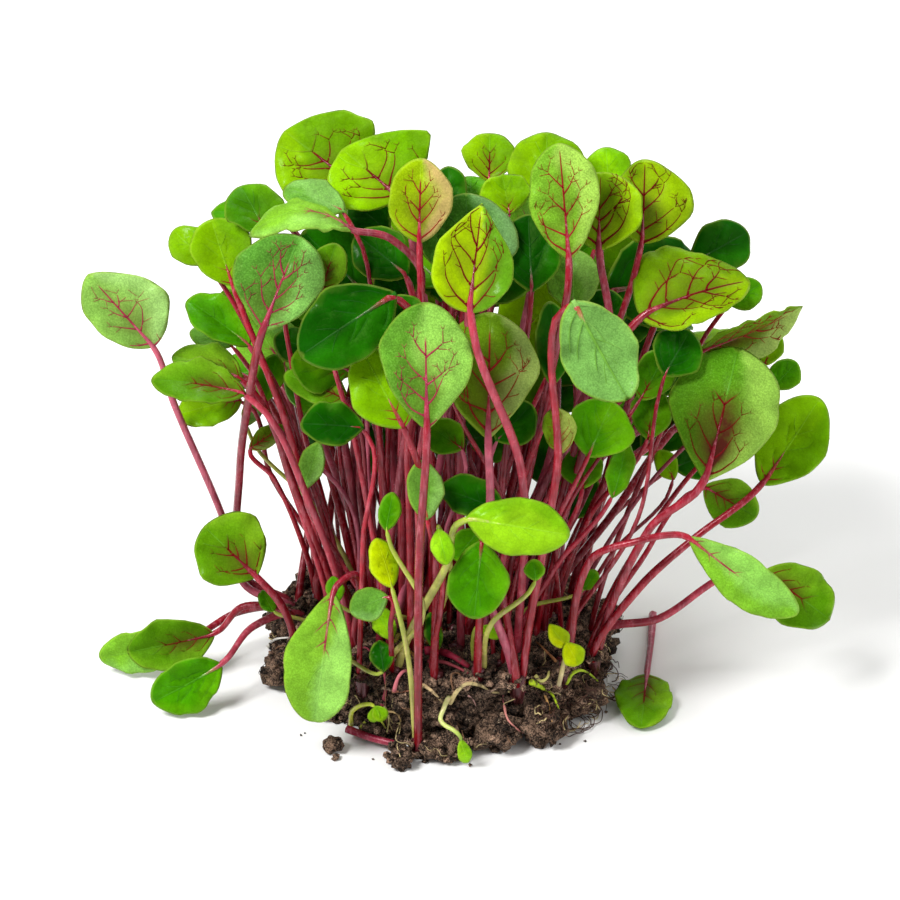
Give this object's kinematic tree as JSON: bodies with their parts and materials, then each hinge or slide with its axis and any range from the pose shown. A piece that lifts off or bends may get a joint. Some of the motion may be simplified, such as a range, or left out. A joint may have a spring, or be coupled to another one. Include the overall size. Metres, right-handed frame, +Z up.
{
  "type": "red-veined sorrel clump in a soil block",
  "caption": "Dense clump of young red-veined sorrel on crimson stalks, lifted from its tray in a low crumbly block of soil.",
  "frame": {"origin": "middle of the soil block's flat underside, which stands on the surface", "axes": "+Z up out of the soil, +X to the right and +Y away from the front of the clump as the picture shows it"},
  "size_m": [0.1444, 0.106, 0.1163],
  "materials": {
    "leaf": "soft leaf sheen",
    "young_leaf": "soft leaf sheen",
    "stalk": "moist sheen",
    "soil": "crumbly and matte"
  },
  "bodies": {
    "root": {"cut_stalk": "stalk", "fallen_leaf": "leaf", "lime_sprout": "young_leaf", "loose_clod": "soil", "pale_shoot": "young_leaf", "plant_01": "leaf", "plant_02": "leaf", "plant_03": "leaf", "plant_04": "leaf", "plant_05": "leaf", "plant_06": "leaf", "plant_07": "leaf", "plant_08": "leaf", "plant_09": "leaf", "plant_10": "leaf", "plant_11": "leaf", "plant_12": "leaf", "plant_13": "leaf", "plant_14": "leaf", "plant_15": "leaf", "plant_16": "leaf", "plant_18": "leaf", "plant_19": "leaf", "plant_20": "leaf", "plant_21": "leaf", "plant_22": "leaf", "plant_23": "leaf", "plant_24": "leaf", "plant_25": "leaf", "plant_26": "leaf", "plant_27": "leaf", "plant_28": "leaf", "plant_29": "leaf", "plant_30": "leaf", "plant_31": "leaf", "plant_32": "leaf", "plant_33": "leaf", "plant_34": "leaf", "plant_35": "leaf", "plant_36": "leaf", "plant_37": "leaf", "plant_38": "leaf", "plant_39": "leaf", "plant_40": "leaf", "plant_41": "leaf", "plant_42": "leaf", "plant_43": "leaf", "plant_44": "leaf", "plant_45": "leaf", "plant_46": "leaf", "soil_block": "soil", "yellow_arch": "young_leaf", "yellow_sprout": "young_leaf"}
  },
  "joints": []
}
